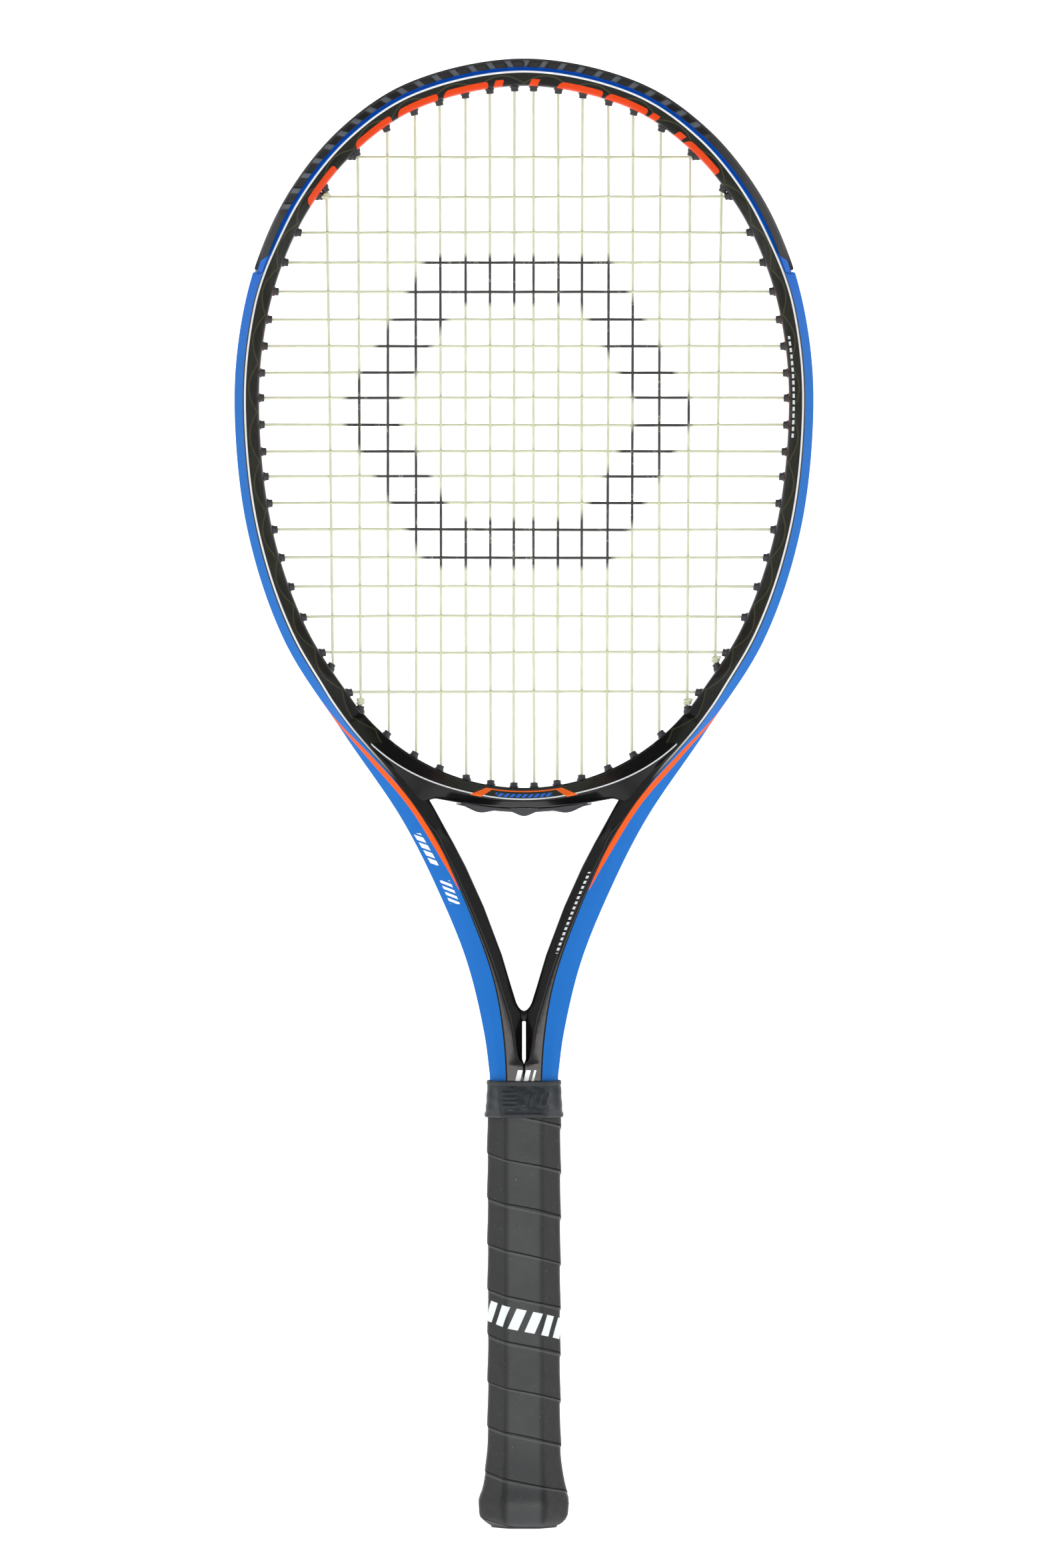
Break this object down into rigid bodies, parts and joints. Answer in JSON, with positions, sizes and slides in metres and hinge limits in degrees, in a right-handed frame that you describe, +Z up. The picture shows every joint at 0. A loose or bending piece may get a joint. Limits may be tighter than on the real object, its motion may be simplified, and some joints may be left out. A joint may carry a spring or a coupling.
{
  "type": "tennis racket",
  "caption": "Strung adult tennis racket: hollow hoop and twin-shaft frame, bridge, bumper guard, grommet strips, woven strings, wrapped grip, collar and butt cap.",
  "frame": {"origin": "middle of the butt end's flat face", "axes": "+Z up the handle towards the tip of the head, +X across the face, -Y out of the front face"},
  "size_m": [0.2704, 0.0386, 0.6858],
  "materials": {
    "frame_paint": "blue and black metallic lacquer on carbon composite, white pin lines, orange accents",
    "bridge_paint": "gloss black lacquer on carbon composite",
    "guard_nylon": "satin black nylon with raised curved ribs",
    "grommet_nylon": "satin dark grey nylon",
    "string": "pale cream synthetic multifilament string with a clear coating",
    "pallet_foam": "moulded rigid foam",
    "cap_plastic": "moulded black plastic with a fine grain",
    "staple_steel": "bright wire",
    "grip_leather": "charcoal synthetic leather, fine grain, wound in overlapping turns",
    "tape": "black vinyl tape",
    "collar_rubber": "blue-black moulded rubber with raised bars"
  },
  "bodies": {
    "root": {"frame_hairpin": "frame_paint", "throat_bridge": "bridge_paint", "bumper_guard": "guard_nylon", "throat_grommet_strip": "grommet_nylon", "left_grommet_strip": "grommet_nylon", "left_shoulder_grommets": "grommet_nylon", "right_grommet_strip": "grommet_nylon", "right_shoulder_grommets": "grommet_nylon", "main_string": "string", "cross_string": "string", "main_knot_left": "string", "main_knot_right": "string", "cross_knot_top": "string", "cross_knot_bottom": "string", "front_pallet": "pallet_foam", "back_pallet": "pallet_foam", "left_leg_plug": "pallet_foam", "right_leg_plug": "pallet_foam", "butt_cap": "cap_plastic", "right_cap_staple": "staple_steel", "left_cap_staple": "staple_steel", "grip_wrap": "grip_leather", "finishing_tape": "tape"},
    "collar": {"grip_collar": "collar_rubber"},
    "cover": {"end_cover": "cap_plastic"}
  },
  "joints": [
    {"name": "collar_slide", "type": "slide", "parent": "root", "child": "collar", "axis": [0, 0, 1], "range_m": [0, 0.0055]},
    {"name": "cover_pull", "type": "slide", "parent": "root", "child": "cover", "axis": [0, 0, -1], "range_m": [0, 0.009]}
  ]
}
